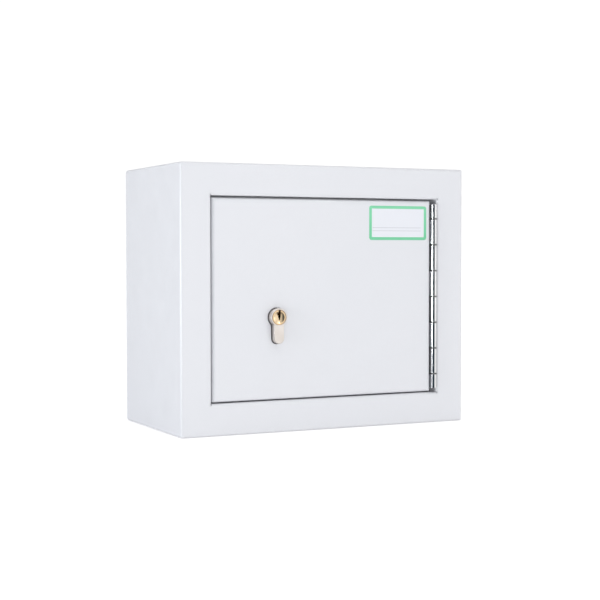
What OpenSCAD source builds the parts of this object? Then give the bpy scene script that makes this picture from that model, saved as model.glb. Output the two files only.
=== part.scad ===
// Lockable wall cabinet for medicines, folded from sheet steel.
// X runs to the right seen from the front, Y runs from the front to the wall, Z runs up.
// The origin is on the back face, in the middle of the four wall fixing holes.

/* [Cabinet body] */
// Width over the side walls
body_w = 300; // [270:1:400]
// Height over the top and bottom walls
body_h = 250; // [230:1:400]
// Depth from the face frame to the wall
body_d = 150; // [120:1:220]
// Thickness of the painted sheet steel
sheet = 1.2; // [0.8:0.1:1.4]
// Outside radius of the body's folded edges
corner_r = 3; // [2:0.1:4]
// Width of the face frame round the door opening
frame_w = 30; // [28:1:36]
// Space behind the door in front of the door stop
stop_gap = 1.4; // [0.8:0.1:1.8]
// How far the door stop stands into the opening
stop_w = 8; // [7:0.5:9]
// Outside radius of the fold round the door opening
lip_r = 2.4; // [1.4:0.1:2.6]

/* [Wall fixing] */
// Distance from the cabinet's edges to the middle of each wall hole
wall_hole_inset = 40; // [20:1:60]
// Diameter of each wall hole
wall_hole_d = 8; // [5:0.5:10]

/* [Shelf] */
// Height of the shelf's top above the middle of the cabinet
shelf_z = 0; // [-20:1:20]
// Space between the lock and the shelf's front edge
shelf_front_gap = 11; // [4:0.5:30]
// Height of the fold along the shelf's front edge
shelf_lip = 12; // [8:1:20]
// Space between the shelf's ends and the side walls
shelf_end_gap = 11; // [8:0.5:12]
// Width of the rail's ledge under the shelf
rail_w = 18; // [16:1:24]
// Height of the rail's leg on the side wall
rail_h = 20; // [12:1:26]
// Space between the rail's rear end and the back panel
rail_back_gap = 4; // [1:0.5:10]

/* [Door] */
// How far the door's face lies behind the face frame
door_recess = 0.6; // [0.4:0.1:0.7]
// Depth of the door from its face to its inner panel
door_depth = 18; // [17.2:0.1:24]
// Outside radius of the door's folded edges
door_edge_r = 3.4; // [1.4:0.1:3.8]
// Gap beside the door's free edge
gap_free = 1.3; // [1.2:0.1:3]
// Gap under the door
gap_bottom = 1; // [1:0.1:3]
// Gap above the door
gap_top = 1.7; // [1:0.1:4]
// Diameter of the rubber buffers on the door stop
buffer_d = 6; // [4:0.5:6.5]
// Distance from the opening's corners to the buffers
buffer_inset = 24; // [12:1:40]

/* [Hinge] */
// Diameter of the hinge barrel
barrel_d = 6.2; // [5.4:0.1:7]
// Diameter of the hinge pin
pin_d = 3; // [2.4:0.1:3.2]
// Thickness of each hinge leaf
leaf_t = 1.5; // [1:0.1:1.6]
// Width of each leaf behind the barrel's axis
leaf_w = 15; // [12:0.5:16]
// Distance from the door's corners to the hinge's ends
hinge_end_gap = 3.1; // [0.5:0.1:20]
// Distance from knuckle to knuckle
knuckle_pitch = 25.4; // [18:0.1:30]
// Gap between neighbouring knuckles
knuckle_gap = 0.4; // [0.3:0.05:0.8]
// Space between the barrel and the sheet beside it
barrel_gap = 0.3; // [0.3:0.05:0.5]
// Diameter of the rivet shanks
rivet_d = 3.2; // [2.4:0.1:3.6]
// Distance from rivet to rivet
rivet_pitch = 32; // [24:1:50]

/* [Lock cylinder] */
// Diameter of the cylinder's round part
cyl_head_d = 17; // [16:0.1:17.6]
// Width of the cylinder's lower lobe
cyl_lobe_w = 10; // [9:0.1:10.6]
// Height over the round part and the lobe
cyl_h = 33; // [32:0.1:34]
// How far the cylinder stands out of the door's face
cyl_proud = 5.5; // [5:0.1:6]
// Length from the middle of the cam gap to the cylinder's rear end
cyl_len_in = 10; // [9:0.1:12]
// Width of the cam gap
cam_gap_w = 10; // [9:0.1:10.2]
// Diameter of the plug in the cylinder
plug_d = 13; // [12:0.1:13.4]
// Diameter of the plug's head
plug_head_d = 14; // [13.6:0.1:14.6]
// Thickness of the plug's head
plug_head_t = 1.2; // [0.8:0.1:2]
// Number of pin chambers
pin_count = 5; // [3:1:5]
// Distance from pin to pin
pin_pitch = 3.6; // [3.4:0.1:3.8]
// Distance from the cylinder's face to the first pin
pin_first = 6.5; // [5:0.1:7]
// Diameter of the pins
tumbler_d = 2.7; // [2.2:0.1:2.8]
// Diameter of the cylinder's fixing screw
fix_screw_d = 4.8; // [4:0.1:5]

/* [Lock case] */
// Distance from the door's free edge to the plug's axis
backset = 64.5; // [62:0.5:70]
// Height of the plug's axis above the door's lower edge
lock_rise = 76.8; // [60:0.5:100]
// Space between the door stop and the lock case
case_stop_gap = 4.5; // [3.5:0.5:8]
// Space between the bolt's tail and the lock case's edge
case_tail_room = 6; // [3:0.5:20]
// Height of the lock case above the bolt
case_head_room = 9.7; // [9:0.1:14]
// Height of the lock case below the cylinder
case_foot_room = 10.5; // [9:0.5:14]
// Thickness of the lock case's sheet
case_t = 1.5; // [1:0.1:1.6]
// Space behind the cam gap inside the lock case
case_rear_room = 0.9; // [0.5:0.1:2]
// Diameter of the case screws
case_screw_d = 4; // [3:0.1:4.4]

/* [Bolt] */
// How far the bolt slides when the key turns a quarter turn
bolt_throw = 16; // [13:0.5:17]
// Thickness of the bolt from front to back
bolt_t = 6; // [4:0.1:6.4]
// Height of the bolt
bolt_h = 14; // [12:0.1:14.5]
// Diameter of the stud that guides the bolt
stud_d = 5.5; // [4:0.1:6]
// Distance from the lock case's edge to the guide stud
stud_x = 24; // [16:0.5:28]
// Length of the cam from the plug's axis to its tip
cam_r = 15.3; // [14.6:0.1:15.6]
// Width of the cam
cam_t = 6; // [4:0.1:6.4]

/* [Hidden] */
$fn = 64;

// Clearances
run_fit = 0.05;
slide_fit = 0.3;
hole_fit = 0.1;
door_hole_fit = 0.6;
case_hole_fit = 0.4;
axial_gap = 0.4;
cut = 1;
min_r = 0.2;

// Body planes
left_x = -body_w / 2;
right_x = body_w / 2;
bottom_z = -body_h / 2;
top_z = body_h / 2;
front_y = -body_d;
open_l = left_x + frame_w;
open_r = right_x - frame_w;
open_b = bottom_z + frame_w;
open_t = top_z - frame_w;
wall_hole_x = body_w / 2 - wall_hole_inset;
wall_hole_z = body_h / 2 - wall_hole_inset;
inner_l = left_x + sheet;
inner_r = right_x - sheet;
panel_y = -sheet;

// Door planes
hinge_x = open_r - barrel_gap - barrel_d / 2;
hinge_y = front_y;
door_l = open_l + gap_free;
door_r = hinge_x - barrel_d / 2 - barrel_gap;
door_b = open_b + gap_bottom;
door_t = open_t - gap_top;
door_y = front_y + door_recess;
door_back_y = door_y + door_depth;
stop_y = door_back_y + stop_gap;
hinge_z = (door_b + door_t) / 2;
hinge_len = door_t - door_b - 2 * hinge_end_gap;

// Lock planes
lock_x = door_l + backset;
lock_z = door_b + lock_rise;
case_y = door_back_y;
cyl_y = door_y - cyl_proud;
cam_y = case_y + case_t + cam_gap_w / 2;
cyl_len_out = cam_y - cyl_y;
cyl_len = cyl_len_out + cyl_len_in;
head_r = cyl_head_d / 2;
lobe_r = cyl_lobe_w / 2;
lobe_end = cyl_h - head_r;
lobe_drop = lobe_end - lobe_r;
shear_r = plug_d / 2 + run_fit;
cover_y = case_y + case_t + cam_gap_w + case_rear_room;

// Hinge details
knuckle_pairs = ceil(hinge_len / 2 / knuckle_pitch);
leaf_seat = barrel_d / 2 + barrel_gap;
leaf_root_y = barrel_d / 4;
leaf_clear_y = barrel_d / 2 + knuckle_gap;
rivet_y = hinge_y + (leaf_clear_y + leaf_w) / 2;
rivet_head_d = rivet_d + 2.2;
rivet_head_t = 0.9;
rivet_dome_t = 1.1;
rivet_count = floor((hinge_len - rivet_head_d * 3) / rivet_pitch) + 1;
rivet_z0 = hinge_z - rivet_pitch * (rivet_count - 1) / 2;
panel_front_y = rivet_y + rivet_head_d / 2 + axial_gap;

// Cylinder details
bridge_gap = 0.7;
bridge_top = cam_r + bridge_gap;
fix_drop = (bridge_top + lobe_end) / 2;
chamber_d = tumbler_d + 2 * hole_fit;
chamber_wall = 3.5;
chamber_floor = lobe_end - chamber_wall;
driver_len = 5;
pin_lift = 0.35;
key_pin_r = sqrt(pow(plug_d / 2, 2) - pow(tumbler_d / 2, 2)) - slide_fit;
key_pin_lifts = [0.2, 0.9, 0.4, 1.1, 0.6];
key_pin_tip_d = 1.2;
key_pin_tip_h = 0.8;
spring_wire_r = 0.22;
spring_turns = 5;
spring_steps = 12;
plug_end = cyl_len_out - cam_gap_w / 2 - axial_gap;
plug_web = 1.5;
plug_chamfer = 0.3;
spigot_d = 9.5;
spigot_flat = 8;
spigot_stub = 1.4;
clip_t = 0.9;
clip_d = 12;
clip_mouth = 5.6;
clip_groove_d = 8;
clip_y = cyl_len_out + cam_gap_w / 2 + axial_gap;
groove_w = clip_t + hole_fit;
spigot_end = clip_y + groove_w + spigot_stub;

// Steps of the keyway from the top down: lower edge, left side and width, from the plug's axis
keyway_steps = [[4.2, -0.4, 1.8], [1.9, -1.6, 3.2], [-0.2, -0.7, 2.4], [-2.3, -0.1, 1.4]];
keyway_low = keyway_steps[len(keyway_steps) - 1][0];

// Bolt details
cam_half_turn = 45;
cam_w = cam_gap_w - 2 * axial_gap;
cam_hub_r = head_r - slide_fit;
bolt_rise = 0.8;
bolt_low = head_r + bolt_rise;
bolt_mid = bolt_low + bolt_h / 2;
bolt_high = bolt_low + bolt_h;
bolt_chamfer = 0.8;
bolt_tail_w = 8;
notch_top = cam_r + 2 * slide_fit;
notch_x = bolt_throw / 2;

// How far the cam, turned a degrees from upright, reaches sideways above the bolt's lower edge
cam_corner = sqrt(pow(cam_r, 2) - pow(cam_t / 2, 2));
function cam_reach(a) = cam_corner * cos(a) - cam_t / 2 * sin(a) > bolt_low
    ? cam_corner * sin(a) + cam_t / 2 * cos(a)
    : sqrt(pow(cam_r, 2) - pow(bolt_low, 2));
// The notch is as wide as the cam needs while the bolt slides evenly with its turn
notch_half = max([for (a = [0 : cam_half_turn]) cam_reach(a) - notch_x * a / cam_half_turn]) + slide_fit;
notch_w = 2 * notch_half;
bolt_tail = notch_x + notch_w / 2 + bolt_tail_w;
case_l = open_l + stop_w + case_stop_gap;
case_r = lock_x + bolt_tail + case_tail_room;
case_b = lock_z - lobe_end - case_foot_room;
case_top = lock_z + bolt_high + case_head_room;
bolt_tip = case_l - lock_x;
stud_line = bolt_tip + stud_x;
stud_collar = 3.2;
spring_strip = 0.6;
spring_w = 8;
spring_reach = 14;
spring_foot = 12;
detent_w = 3;
detent_h = 1.2;

// Screws
corner_in = 5.5;
screw_head_d = 1.9 * case_screw_d;
screw_head_h = 2.2;
screw_top_d = 0.8 * screw_head_d;
screw_grip = 4.6;
recess_w = 4.2;
fix_head_d = 9;
fix_head_h = 2;
drive_slot_w = 1;
drive_slot_h = 0.9;

// Finishes
paint = [0.90, 0.91, 0.93];
zinc = [0.78, 0.80, 0.82];
nickel = [0.84, 0.81, 0.77];
brass = [0.86, 0.72, 0.42];
steel = [0.55, 0.56, 0.58];
rubber = [0.20, 0.20, 0.21];

// ---- helpers -------------------------------------------------------------

// Box between two corners
module block(x0, x1, y0, y1, z0, z1) {
    translate([x0, y0, z0]) cube([x1 - x0, y1 - y0, z1 - z0]);
}

// Extrude an outline drawn in X and Z from y0 to y1
module along_y(y0, y1) {
    translate([0, y1, 0]) rotate([90, 0, 0]) linear_extrude(y1 - y0) children();
}

// Extrude an outline drawn in Y and Z from x0 to x1
module along_x(x0, x1) {
    translate([x0, 0, 0]) rotate([90, 0, 90]) linear_extrude(x1 - x0) children();
}

// Extrude an outline drawn in X and Y from z0 to z1
module along_z(z0, z1) {
    translate([0, 0, z0]) linear_extrude(z1 - z0) children();
}

// Round bar along X, Y or Z
module bar_x(x0, x1, y, z, d) {
    translate([x0, y, z]) rotate([0, 90, 0]) cylinder(h = x1 - x0, d = d);
}

module bar_y(y0, y1, x, z, d) {
    translate([x, y0, z]) rotate([-90, 0, 0]) cylinder(h = y1 - y0, d = d);
}

module bar_z(z0, z1, x, y, d) {
    translate([x, y, z0]) cylinder(h = z1 - z0, d = d);
}

// Rectangle with four round corners
module round_rect(x0, x1, y0, y1, r) {
    translate([x0 + r, y0]) square([x1 - x0 - 2 * r, y1 - y0]);
    translate([x0, y0 + r]) square([x1 - x0, y1 - y0 - 2 * r]);
    for (x = [x0 + r, x1 - r], y = [y0 + r, y1 - r]) translate([x, y]) circle(r);
}

// Solid with a front whose edges are folded to radius r, and corners of radius rc
module folded_block(x0, x1, y0, y1, z0, z1, r, rc) {
    intersection() {
        along_z(z0, z1) round_rect(x0, x1, y0, y1 + 2 * r, r);
        along_x(x0, x1) round_rect(y0, y1 + 2 * r, z0, z1, r);
        along_y(y0, y1) round_rect(x0, x1, z0, z1, rc);
    }
}

// Tray of thickness t, open at the rear
module tray(x0, x1, y0, y1, z0, z1, t, r, rc) {
    difference() {
        folded_block(x0, x1, y0, y1, z0, z1, r, rc);
        folded_block(x0 + t, x1 - t, y0 + t, y1 + cut, z0 + t, z1 - t, max(r - t, min_r), max(rc - t, min_r));
    }
}

// Outline of the lock cylinder, grown by g
module lock_profile(g) {
    circle(head_r + g);
    translate([-lobe_r - g, -lobe_drop]) square([2 * (lobe_r + g), lobe_drop]);
    translate([0, -lobe_drop]) circle(lobe_r + g);
}

// Hole for the lock cylinder between two planes
module lock_hole(y0, y1, g) {
    translate([lock_x, 0, lock_z]) along_y(y0, y1) lock_profile(g);
}

// Places in the plug's own frame: its axis along Y, its face at zero
module at_lock() {
    translate([lock_x, cyl_y, lock_z]) children();
}

module at_chambers() {
    for (i = [0 : pin_count - 1]) translate([0, pin_first + i * pin_pitch, 0]) children();
}

module at_case_corners() {
    for (x = [case_l + corner_in, case_r - corner_in], z = [case_b + corner_in, case_top - corner_in])
        translate([x, 0, z]) children();
}

// Holes for the case screws through a sheet whose front is at y
module case_screw_holes(y) {
    at_case_corners() bar_y(y - cut, y + case_t + cut, 0, 0, case_screw_d + 2 * hole_fit);
}

// ---- cabinet body ----------------------------------------------------------

// Material in front of the fold that runs along Z, at x, on the side given by s
module upright_fold_cut(x, s) {
    axis_x = x - s * lip_r;
    difference() {
        block(min(x, axis_x), max(x, axis_x), front_y - cut, front_y + lip_r, open_b - lip_r, open_t + lip_r);
        bar_z(open_b - lip_r - cut, open_t + lip_r + cut, axis_x, front_y + lip_r, 2 * lip_r);
    }
}

module level_fold_cut(z, s) {
    axis_z = z - s * lip_r;
    difference() {
        block(open_l - lip_r, open_r + lip_r, front_y - cut, front_y + lip_r, min(z, axis_z), max(z, axis_z));
        bar_x(open_l - lip_r - cut, open_r + lip_r + cut, front_y + lip_r, axis_z, 2 * lip_r);
    }
}

module body_shell() {
    color(paint) difference() {
        union() {
            tray(left_x, right_x, front_y, 0, bottom_z, top_z, sheet, corner_r, corner_r);
            block(
                open_l - sheet, open_r + sheet, front_y + sheet / 2, stop_y + sheet,
                open_b - sheet, open_t + sheet
            );
        }
        block(open_l, open_r, front_y - cut, stop_y, open_b, open_t);
        block(
            open_l + stop_w, open_r - stop_w, stop_y - cut, stop_y + sheet + cut,
            open_b + stop_w, open_t - stop_w
        );
        upright_fold_cut(open_l, 1);
        upright_fold_cut(open_r, -1);
        level_fold_cut(open_b, 1);
        level_fold_cut(open_t, -1);
        at_rivets() bar_x(open_r - cut, open_r + 2 * sheet, 0, 0, rivet_d + 2 * hole_fit);
    }
}

module back_panel() {
    color(paint) along_y(panel_y, 0) difference() {
        round_rect(inner_l, inner_r, bottom_z + sheet, top_z - sheet, corner_r - sheet);
        for (x = [-wall_hole_x, wall_hole_x], z = [-wall_hole_z, wall_hole_z])
            translate([x, z]) circle(d = wall_hole_d);
    }
}

// Shelf: a flat sheet with its front edge folded down
shelf_y = cyl_y + cyl_len + shelf_front_gap;
shelf_back_y = panel_y - slide_fit;

module shelf_outline() {
    r = door_edge_r;
    translate([shelf_y + r, shelf_z - sheet]) square([shelf_back_y - shelf_y - r, sheet]);
    translate([shelf_y, shelf_z - shelf_lip]) square([sheet, shelf_lip - r]);
    intersection() {
        difference() {
            translate([shelf_y + r, shelf_z - r]) circle(r);
            translate([shelf_y + r, shelf_z - r]) circle(r - sheet);
        }
        translate([shelf_y, shelf_z - r]) square(r);
    }
}

module shelf() {
    color(paint) along_x(inner_l + shelf_end_gap, inner_r - shelf_end_gap) shelf_outline();
}

// Rail on the left wall: an angle whose ledge carries the shelf
module shelf_rail() {
    y0 = shelf_y + sheet + slide_fit;
    y1 = panel_y - rail_back_gap;
    ledge_z = shelf_z - sheet;
    block(inner_l, inner_l + rail_w, y0, y1, ledge_z - sheet, ledge_z);
    block(inner_l, inner_l + sheet, y0, y1, ledge_z - rail_h, ledge_z);
}

module shelf_rail_left() {
    color(paint) shelf_rail();
}

module shelf_rail_right() {
    color(paint) mirror([1, 0, 0]) shelf_rail();
}

module door_buffers() {
    buffer_x = open_l + stop_w / 2;
    color(rubber) for (z = [open_b + buffer_inset, open_t - buffer_inset])
        bar_y(door_back_y + slide_fit, stop_y, buffer_x, z, buffer_d);
}

// ---- hinge -----------------------------------------------------------------

// Ends of knuckle i along Z; the end knuckles are cut off with the hinge
function knuckle_low(i) = max(-hinge_len / 2, (i - knuckle_pairs) * knuckle_pitch + knuckle_gap / 2);
function knuckle_high(i) = min(hinge_len / 2, (i + 1 - knuckle_pairs) * knuckle_pitch - knuckle_gap / 2);

// One leaf on the +X side of the barrel, with every other knuckle from the given one up
module hinge_leaf(first) {
    difference() {
        union() {
            block(leaf_seat - leaf_t, leaf_seat, leaf_clear_y, leaf_w, -hinge_len / 2, hinge_len / 2);
            for (i = [first : 2 : 2 * knuckle_pairs - 1]) {
                bar_z(knuckle_low(i), knuckle_high(i), 0, 0, barrel_d);
                block(leaf_seat - leaf_t, leaf_seat, leaf_root_y, leaf_w, knuckle_low(i), knuckle_high(i));
            }
        }
        bar_z(-hinge_len, hinge_len, 0, 0, pin_d + 2 * run_fit);
    }
}

module at_rivets() {
    for (i = [0 : rivet_count - 1]) translate([0, rivet_y, rivet_z0 + i * rivet_pitch]) children();
}

// Countersunk rivet through a stack that starts at x = 0 and runs towards +X
module rivet_body(stack, grow) {
    rotate([0, 90, 0]) cylinder(h = stack, d = rivet_d + grow);
    rotate([0, 90, 0]) cylinder(h = rivet_head_t, d1 = rivet_head_d + grow, d2 = rivet_d + grow);
}

module rivet(stack) {
    rivet_body(stack, 0);
    translate([stack, 0, 0]) rotate([0, 90, 0]) intersection() {
        cylinder(h = rivet_dome_t, d = rivet_head_d);
        translate([0, 0, -rivet_dome_t]) scale(rivet_head_d / 2) sphere(1);
    }
}

// Holes for the rivets in whatever they join
module rivet_holes(x0, s, stack) {
    at_rivets() translate([x0, 0, 0]) mirror([s < 0 ? 1 : 0, 0, 0]) rivet_body(stack, 2 * hole_fit);
}

module hinge_frame_leaf() {
    color(zinc) difference() {
        translate([hinge_x, hinge_y, hinge_z]) hinge_leaf(1);
        rivet_holes(hinge_x + leaf_seat - leaf_t, 1, leaf_t + cut);
    }
}

module hinge_door_leaf() {
    color(zinc) difference() {
        translate([hinge_x, hinge_y, hinge_z]) mirror([1, 0, 0]) hinge_leaf(0);
        rivet_holes(hinge_x - leaf_seat + leaf_t, -1, leaf_t + cut);
    }
}

module hinge_pin() {
    color(steel) translate([hinge_x, hinge_y, hinge_z]) bar_z(-hinge_len / 2, hinge_len / 2, 0, 0, pin_d);
}

module frame_rivets() {
    color(zinc) at_rivets() translate([hinge_x + leaf_seat - leaf_t, 0, 0]) rivet(leaf_t + sheet);
}

module door_rivets() {
    color(zinc) at_rivets()
        translate([hinge_x - leaf_seat + leaf_t, 0, 0]) mirror([1, 0, 0]) rivet(leaf_t + sheet);
}

// ---- door ------------------------------------------------------------------

module door_skin() {
    color(paint) difference() {
        tray(door_l, door_r, door_y, door_back_y, door_b, door_t, sheet, door_edge_r, door_edge_r / 2);
        lock_hole(door_y - cut, door_y + sheet + cut, door_hole_fit);
        at_rivets() bar_x(door_r - 2 * sheet, door_r + cut, 0, 0, rivet_d + 2 * hole_fit);
    }
}

// Inner panel: a tray that faces forward inside the skin, flush with its rear edges
module door_panel() {
    flip_y = 2 * door_back_y;
    color(paint) difference() {
        translate([0, flip_y, 0]) mirror([0, 1, 0]) tray(
            door_l + sheet, door_r - sheet, door_back_y, flip_y - panel_front_y,
            door_b + sheet, door_t - sheet, sheet, door_edge_r - sheet / 2, sheet / 2
        );
        lock_hole(door_back_y - 2 * sheet, door_back_y + cut, door_hole_fit);
        case_screw_holes(door_back_y - sheet);
    }
}

// ---- lock case and bolt ------------------------------------------------------

module lock_case() {
    color(zinc) difference() {
        tray(case_l, case_r, case_y, cover_y, case_b, case_top, case_t, case_t, case_t);
        lock_hole(case_y - cut, case_y + case_t + cut, case_hole_fit);
        block(
            case_l - cut, case_l + case_t + cut,
            cam_y - bolt_t / 2 - slide_fit, cam_y + bolt_t / 2 + slide_fit,
            lock_z + bolt_low - slide_fit, lock_z + bolt_high + slide_fit
        );
        bar_x(case_l - cut, case_l + case_t + cut, cam_y, lock_z - fix_drop, fix_screw_d + 2 * case_hole_fit);
        case_screw_holes(case_y);
    }
}

module lock_cover() {
    color(zinc) difference() {
        along_y(cover_y, cover_y + case_t) round_rect(case_l, case_r, case_b, case_top, case_t);
        lock_hole(cover_y - cut, cover_y + case_t + cut, case_hole_fit);
        case_screw_holes(cover_y);
    }
}

// Long screw with a cross recess; it holds the cover and the case on the door's inner panel
module case_screw() {
    head_y = cover_y + case_t;
    top_y = head_y + screw_head_h;
    bar_y(case_y - screw_grip, head_y, 0, 0, case_screw_d);
    difference() {
        translate([0, head_y, 0]) rotate([-90, 0, 0])
            cylinder(h = screw_head_h, d1 = screw_head_d, d2 = screw_top_d);
        for (a = [45, -45]) rotate([0, a, 0]) block(
            -recess_w / 2, recess_w / 2, top_y - drive_slot_h, top_y + cut,
            -drive_slot_w / 2, drive_slot_w / 2
        );
    }
}

module case_screws() {
    color(zinc) at_case_corners() case_screw();
}

// Stud between the case and its cover, with a collar that keeps the bolt off the case
module bolt_stud() {
    y0 = case_y + case_t;
    color(steel) translate([lock_x + stud_line, 0, lock_z + bolt_mid]) {
        bar_y(y0, cover_y, 0, 0, stud_d);
        bar_y(y0, cam_y - bolt_t / 2 - slide_fit, 0, 0, stud_d + stud_collar);
    }
}

// Strip spring on the case's top wall; its nose rides on the bolt's upper edge
module detent_spring() {
    top = case_top - case_t - lock_z;
    nose = bolt_high + slide_fit;
    foot_x = notch_x - detent_w - spring_reach - spring_foot;
    nose_x = foot_x + spring_foot + spring_reach;
    color(steel) translate([lock_x, 0, lock_z]) along_y(cam_y - spring_w / 2, cam_y + spring_w / 2) {
        polygon([
            [foot_x, top], [foot_x + spring_foot, top],
            [nose_x, nose + detent_h], [nose_x + detent_w, nose + 2 * detent_h],
            [nose_x + detent_w, nose + 2 * detent_h - spring_strip], [nose_x, nose],
            [foot_x + spring_foot, top - spring_strip], [foot_x, top - spring_strip]
        ]);
    }
}

// The bolt is drawn around the plug's axis, drawn back into the case
module bolt_outline() {
    low = bolt_low;
    high = bolt_high;
    c = bolt_chamfer;
    slot_r = stud_d / 2 + slide_fit;
    spring_x = notch_x - detent_w;
    difference() {
        polygon([
            [bolt_tip, low + c], [bolt_tip + c, low], [bolt_tail - c, low], [bolt_tail, low + c],
            [bolt_tail, high - c], [bolt_tail - c, high], [bolt_tip + c, high], [bolt_tip, high - c]
        ]);
        translate([notch_x - notch_w / 2, low - cut]) square([notch_w, notch_top - low + cut]);
        translate([stud_line, bolt_mid - slot_r]) square([bolt_throw, 2 * slot_r]);
        for (x = [stud_line, stud_line + bolt_throw]) translate([x, bolt_mid]) circle(slot_r);
        for (x = [spring_x, spring_x + bolt_throw])
            polygon([[x - detent_h, high + cut], [x, high - detent_h], [x + detent_h, high + cut]]);
    }
}

module bolt() {
    color(steel) translate([lock_x, 0, lock_z])
        along_y(cam_y - bolt_t / 2, cam_y + bolt_t / 2) bolt_outline();
}

// ---- lock cylinder -----------------------------------------------------------

module cylinder_body() {
    color(nickel) at_lock() difference() {
        along_y(0, cyl_len) lock_profile(0);
        bar_y(-cut, cyl_len + cut, 0, 0, plug_d + 2 * run_fit);
        bar_y(-cut, plug_head_t + slide_fit, 0, 0, plug_head_d + 2 * run_fit);
        block(
            -cyl_head_d, cyl_head_d, cyl_len_out - cam_gap_w / 2, cyl_len_out + cam_gap_w / 2,
            -bridge_top, cyl_head_d
        );
        at_chambers() bar_z(-chamber_floor, 0, 0, 0, chamber_d);
        bar_x(-cyl_head_d, cyl_head_d, cyl_len_out, -fix_drop, fix_screw_d + 2 * hole_fit);
    }
}

module cylinder_screw() {
    head_x = case_l - lock_x;
    color(zinc) translate([lock_x, cam_y, lock_z - fix_drop]) difference() {
        union() {
            bar_x(head_x, lobe_r - cut, 0, 0, fix_screw_d);
            bar_x(head_x - fix_head_h, head_x, 0, 0, fix_head_d);
        }
        block(
            head_x - fix_head_h - cut, head_x - fix_head_h + drive_slot_h, -fix_head_d, fix_head_d,
            -drive_slot_w / 2, drive_slot_w / 2
        );
    }
}

module driver_pins() {
    top = shear_r + pin_lift;
    color(brass) at_lock() at_chambers() bar_z(-top - driver_len, -top, 0, 0, tumbler_d);
}

module pin_springs() {
    top = shear_r + pin_lift + driver_len + hole_fit;
    low = chamber_floor - hole_fit;
    coil_r = tumbler_d / 2 - spring_wire_r - hole_fit;
    color(steel) at_lock() at_chambers() translate([0, 0, -low])
        linear_extrude(low - top, twist = -360 * spring_turns, slices = spring_turns * spring_steps, $fn = 6)
            translate([coil_r, 0]) circle(spring_wire_r);
}

// Stepped keyway, open at the top of the plug and closed below its axis
module keyway() {
    for (i = [0 : len(keyway_steps) - 1]) {
        step = keyway_steps[i];
        high = i == 0 ? plug_head_d / 2 + cut : keyway_steps[i - 1][0];
        translate([step[1], step[0]]) square([step[2], high - step[0]]);
    }
}

module plug() {
    groove_y = clip_y;
    color(brass) at_lock() difference() {
        union() {
            rotate([-90, 0, 0]) cylinder(
                h = plug_chamfer, d1 = plug_head_d - 2 * plug_chamfer, d2 = plug_head_d
            );
            bar_y(plug_chamfer, plug_head_t, 0, 0, plug_head_d);
            bar_y(plug_head_t, plug_end, 0, 0, plug_d);
            intersection() {
                bar_y(plug_end, spigot_end, 0, 0, spigot_d);
                block(-spigot_d, spigot_d, plug_end, spigot_end, -spigot_flat / 2, spigot_flat / 2);
            }
        }
        along_y(-cut, plug_end - plug_web) keyway();
        at_chambers() bar_z(-plug_d, keyway_low + max(key_pin_lifts), 0, 0, chamber_d);
        difference() {
            bar_y(groove_y, groove_y + groove_w, 0, 0, spigot_d + cut);
            bar_y(groove_y - cut, groove_y + groove_w + cut, 0, 0, clip_groove_d);
        }
    }
}

// Pins that the key would lift, each with a pointed tip in the keyway
module key_pins() {
    color(brass) at_lock() for (i = [0 : pin_count - 1]) {
        tip = keyway_low + key_pin_lifts[i];
        translate([0, pin_first + i * pin_pitch, 0]) {
            bar_z(-key_pin_r, tip - key_pin_tip_h, 0, 0, tumbler_d);
            translate([0, 0, tip - key_pin_tip_h])
                cylinder(h = key_pin_tip_h, d1 = tumbler_d, d2 = key_pin_tip_d);
        }
    }
}

// Cam: a hub on the plug's flats with one arm, at 45 degrees to the right of upright
module cam() {
    color(steel) translate([lock_x, 0, lock_z]) along_y(cam_y - cam_w / 2, cam_y + cam_w / 2) difference() {
        union() {
            circle(cam_hub_r);
            rotate(-cam_half_turn) intersection() {
                translate([-cam_t / 2, 0]) square([cam_t, cam_r]);
                circle(cam_r);
            }
        }
        intersection() {
            circle(d = spigot_d + 2 * run_fit);
            square([2 * spigot_d, spigot_flat + 2 * run_fit], center = true);
        }
    }
}

// Open ring that keeps the plug from coming out at the front
module plug_clip() {
    y0 = clip_y + hole_fit / 2;
    color(steel) at_lock() along_y(y0, y0 + clip_t) difference() {
        circle(d = clip_d);
        circle(d = clip_groove_d + 2 * run_fit);
        translate([-clip_mouth / 2, -clip_d]) square([clip_mouth, clip_d]);
    }
}

body_shell();
back_panel();
shelf();
shelf_rail_left();
shelf_rail_right();
door_buffers();
hinge_frame_leaf();
hinge_pin();
frame_rivets();
door_skin();
door_panel();
hinge_door_leaf();
door_rivets();
lock_case();
lock_cover();
case_screws();
bolt_stud();
detent_spring();
cylinder_body();
cylinder_screw();
driver_pins();
pin_springs();
plug();
key_pins();
cam();
plug_clip();
bolt();
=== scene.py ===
"""Dresses the steel medicine cabinet and lights it.

The painted sheet, the hinge, the lock and the small hardware are built on the frame's
solids, the sticker is added to the door, and the studio holds floor, lights and camera.
"""

from __future__ import annotations

import logging
import math
from collections.abc import Iterable, Iterator, Mapping, Sequence
from contextlib import contextmanager
from dataclasses import dataclass
from enum import Enum

import bmesh
import bpy
from mathutils import Matrix, Vector


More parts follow.
